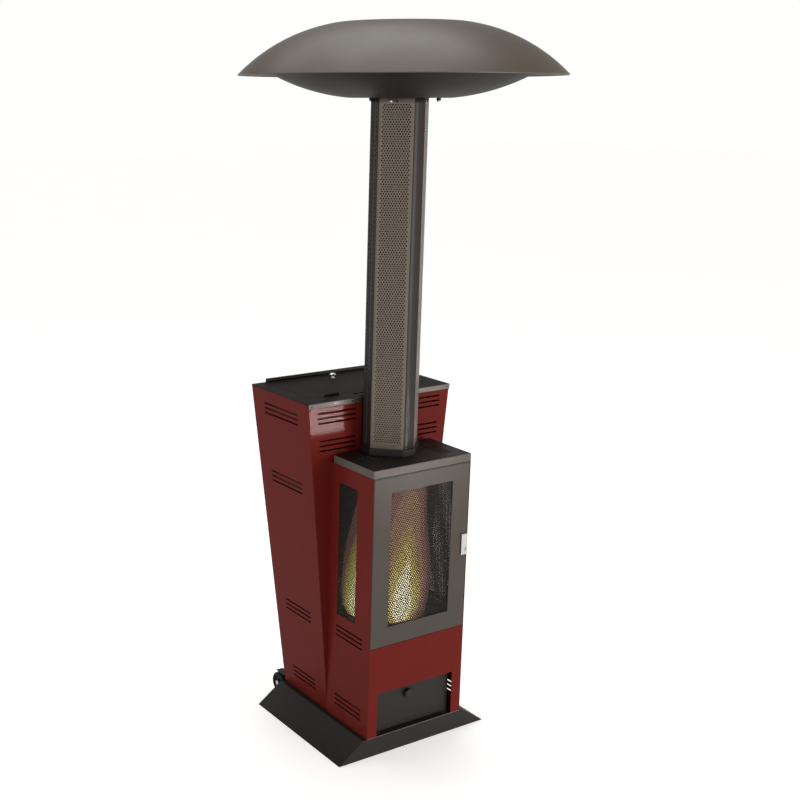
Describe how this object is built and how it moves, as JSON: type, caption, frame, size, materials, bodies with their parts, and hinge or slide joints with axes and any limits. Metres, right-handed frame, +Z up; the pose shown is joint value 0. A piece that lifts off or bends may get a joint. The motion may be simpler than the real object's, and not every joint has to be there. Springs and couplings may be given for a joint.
{
  "type": "patio heater",
  "caption": "Gravity-fed pellet patio heater: glazed burner cabinet on a trapezoid plinth, tapered fuel hopper behind it and a perforated flue guard under a dished hat.",
  "frame": {"origin": "the flue's axis on the floor under the plinth", "axes": "+X to the right hand of someone facing the door, +Y from the door to the hopper, +Z up along the flue"},
  "size_m": [0.966, 0.966, 2.246],
  "materials": {
    "red_paint": "semi-gloss deep red enamel on sheet steel",
    "black_paint": "matt black heat-proof paint",
    "grey_paint": "satin grey-brown heat-proof paint",
    "raw_iron": "bare cast iron",
    "plain_steel": "plain zinc-plated sheet and rod",
    "bright_steel": "brushed stainless steel",
    "bright_chrome": "polished chrome",
    "screen_steel": "heat-browned steel screen",
    "heat_glass": "clear ceramic glass",
    "seal_cloth": "woven glass-fibre seal",
    "black_plastic": "moulded heat-proof plastic",
    "wheel_rubber": "solid black rubber"
  },
  "bodies": {
    "heater": {"base_shell": "black_paint", "ballast_plate": "raw_iron", "side_panel_left": "red_paint", "side_panel_right": "red_paint", "lower_front_panel": "red_paint", "stove_back": "black_paint", "chamber_floor": "black_paint", "chamber_roof": "black_paint", "fire_frame": "black_paint", "cap": "black_paint", "side_screen_left": "screen_steel", "side_screen_right": "screen_steel", "side_glass_left": "heat_glass", "side_glass_right": "heat_glass", "side_glass_clips": "plain_steel", "burn_pot": "raw_iron", "burn_grate": "raw_iron", "pellet_chute": "plain_steel", "flame_baffle": "plain_steel", "drawer_runners": "plain_steel", "latch_keeper": "plain_steel", "door_hinge_pins": "plain_steel", "hopper_front": "red_paint", "hopper_left": "red_paint", "hopper_right": "red_paint", "hopper_rear": "red_paint", "hopper_channel": "red_paint", "hopper_bin": "plain_steel", "hopper_deck": "black_paint", "lid_ledge": "black_paint", "lid_hinge_pins": "plain_steel", "rear_rail": "grey_paint", "flue_spigot": "raw_iron", "flue_pipe": "plain_steel", "guard_front": "grey_paint", "guard_rear": "grey_paint", "guard_collar": "black_paint", "guard_screws": "bright_steel", "hat_bowl": "black_paint", "hat_posts": "plain_steel", "hat_nuts": "plain_steel", "hat_dome": "grey_paint", "wheel_brackets": "black_paint", "wheel_bolts": "bright_steel"},
    "door": {"door_frame": "grey_paint", "door_screen": "screen_steel", "door_gasket": "seal_cloth", "door_glass": "heat_glass", "door_glass_clips": "plain_steel", "door_rope": "seal_cloth"},
    "latch": {"latch_handle": "bright_steel", "latch_tongue": "plain_steel"},
    "drawer": {"ash_tray": "black_paint", "drawer_front": "black_paint", "drawer_knob": "black_plastic"},
    "lid": {"hopper_lid": "black_paint", "lid_knob": "bright_chrome"},
    "wheel_l": {"wheel_left": "wheel_rubber"},
    "wheel_r": {"wheel_right": "wheel_rubber"}
  },
  "joints": [
    {"name": "door_hinge", "type": "hinge", "parent": "heater", "child": "door", "pos_m": [-0.1785, -0.1655, 0.6], "axis": [0, 0, -1], "range_deg": [0, 110]},
    {"name": "latch_turn", "type": "hinge", "parent": "door", "child": "latch", "pos_m": [0.1715, -0.16, 0.66975], "axis": [0, 1, 0], "range_deg": [0, 90]},
    {"name": "drawer_slide", "type": "slide", "parent": "heater", "child": "drawer", "axis": [0, -1, 0], "range_m": [0, 0.165]},
    {"name": "lid_hinge", "type": "hinge", "parent": "heater", "child": "lid", "pos_m": [0, 0.114, 1.124], "axis": [1, 0, 0], "range_deg": [0, 90]},
    {"name": "wheel_left_spin", "type": "hinge", "parent": "heater", "child": "wheel_l", "pos_m": [-0.18, 0.348, 0.0375], "axis": [1, 0, 0], "continuous": true},
    {"name": "wheel_right_spin", "type": "hinge", "parent": "heater", "child": "wheel_r", "pos_m": [0.18, 0.348, 0.0375], "axis": [1, 0, 0], "continuous": true}
  ]
}
